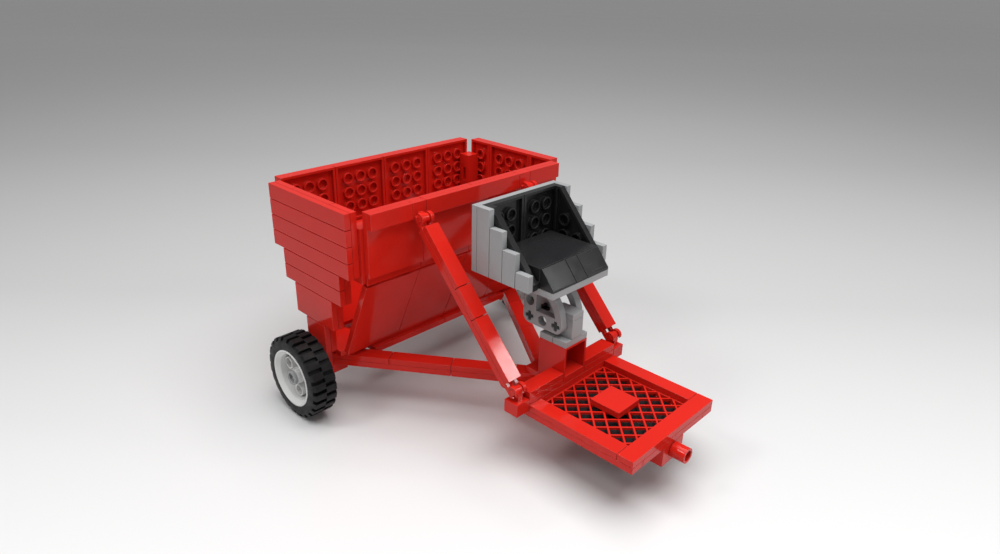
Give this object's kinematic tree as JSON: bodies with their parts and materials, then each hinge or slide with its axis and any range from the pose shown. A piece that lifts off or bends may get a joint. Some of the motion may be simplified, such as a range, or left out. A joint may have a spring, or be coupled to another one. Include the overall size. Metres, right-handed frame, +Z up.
{
  "type": "toy grain cart",
  "caption": "Two-wheeled toy grain cart with a hopper between stepped end walls, an A-shaped drawbar, a latticed platform with a hitch and a tilting bucket seat.",
  "frame": {"origin": "centre of the bounding box's footprint, on the ground under the tyres", "axes": "+X across the cart towards its left side, -Y forward towards the hitch, +Z up"},
  "size_m": [0.1776, 0.2114, 0.1152],
  "materials": {
    "red_plastic": "moulded gloss red",
    "grey_plastic": "moulded gloss light grey",
    "charcoal_plastic": "moulded gloss dark grey",
    "white_plastic": "moulded gloss white",
    "dark_plastic": "moulded black",
    "tyre": "matt black rubber"
  },
  "bodies": {
    "cart": {"axle_beam": "red_plastic", "left_axle_block": "red_plastic", "right_axle_block": "red_plastic", "hopper_floor": "red_plastic", "left_end_plates": "red_plastic", "right_end_plates": "red_plastic", "left_end_tiles": "red_plastic", "right_end_tiles": "red_plastic", "front_wall_panels": "red_plastic", "rear_wall_panels": "red_plastic", "front_rim_band": "red_plastic", "rear_rim_band": "red_plastic", "corner_columns": "red_plastic", "front_hinge_rod": "red_plastic", "rear_hinge_rod": "red_plastic", "front_door_frame": "red_plastic", "rear_door_frame": "red_plastic", "front_door_skin": "red_plastic", "rear_door_skin": "red_plastic", "left_drawbar_plates": "red_plastic", "right_drawbar_plates": "red_plastic", "left_drawbar_tiles": "red_plastic", "right_drawbar_tiles": "red_plastic", "drawbar_pins": "red_plastic", "coupling_plate": "red_plastic", "drawbar_hub": "red_plastic", "platform_rails": "red_plastic", "platform_tiles": "red_plastic", "platform_lattice": "red_plastic", "platform_backing_plates": "charcoal_plastic", "platform_top_tile": "red_plastic", "crossbar_plates": "red_plastic", "crossbar_tiles": "red_plastic", "crossbar_end_blocks": "red_plastic", "strut_brackets": "red_plastic", "left_strut_plates": "red_plastic", "right_strut_plates": "red_plastic", "left_strut_tiles": "red_plastic", "right_strut_tiles": "red_plastic", "hitch_block": "red_plastic", "pedestal": "red_plastic", "pedestal_cap_plates": "grey_plastic", "pivot_block": "grey_plastic", "pivot_block_tile": "grey_plastic"},
    "left_wheel": {"left_axle": "dark_plastic", "left_rim": "white_plastic", "left_tyre": "tyre"},
    "right_wheel": {"right_axle": "dark_plastic", "right_rim": "white_plastic", "right_tyre": "tyre"},
    "seat": {"left_seat_arm": "grey_plastic", "right_seat_arm": "grey_plastic", "seat_axles": "dark_plastic", "seat_base_plate": "grey_plastic", "seat_pan": "charcoal_plastic", "seat_front_slopes": "charcoal_plastic", "seat_back_plates": "charcoal_plastic", "seat_side_plates": "charcoal_plastic", "seat_shell_tiles": "grey_plastic"},
    "hitch": {"hitch_tube": "red_plastic"}
  },
  "joints": [
    {"name": "left_wheel_spin", "type": "hinge", "parent": "cart", "child": "left_wheel", "pos_m": [0.0718, 0.0657, 0.0216], "axis": [1, 0, 0], "continuous": true},
    {"name": "right_wheel_spin", "type": "hinge", "parent": "cart", "child": "right_wheel", "pos_m": [-0.0718, 0.0657, 0.0216], "axis": [1, 0, 0], "continuous": true},
    {"name": "seat_tilt", "type": "hinge", "parent": "cart", "child": "seat", "pos_m": [0, -0.0353, 0.0602], "axis": [1, 0, 0], "range_deg": [-10, 25]},
    {"name": "hitch_swivel", "type": "hinge", "parent": "cart", "child": "hitch", "pos_m": [0, -0.0983, 0.0218], "axis": [0, 1, 0], "continuous": true}
  ]
}
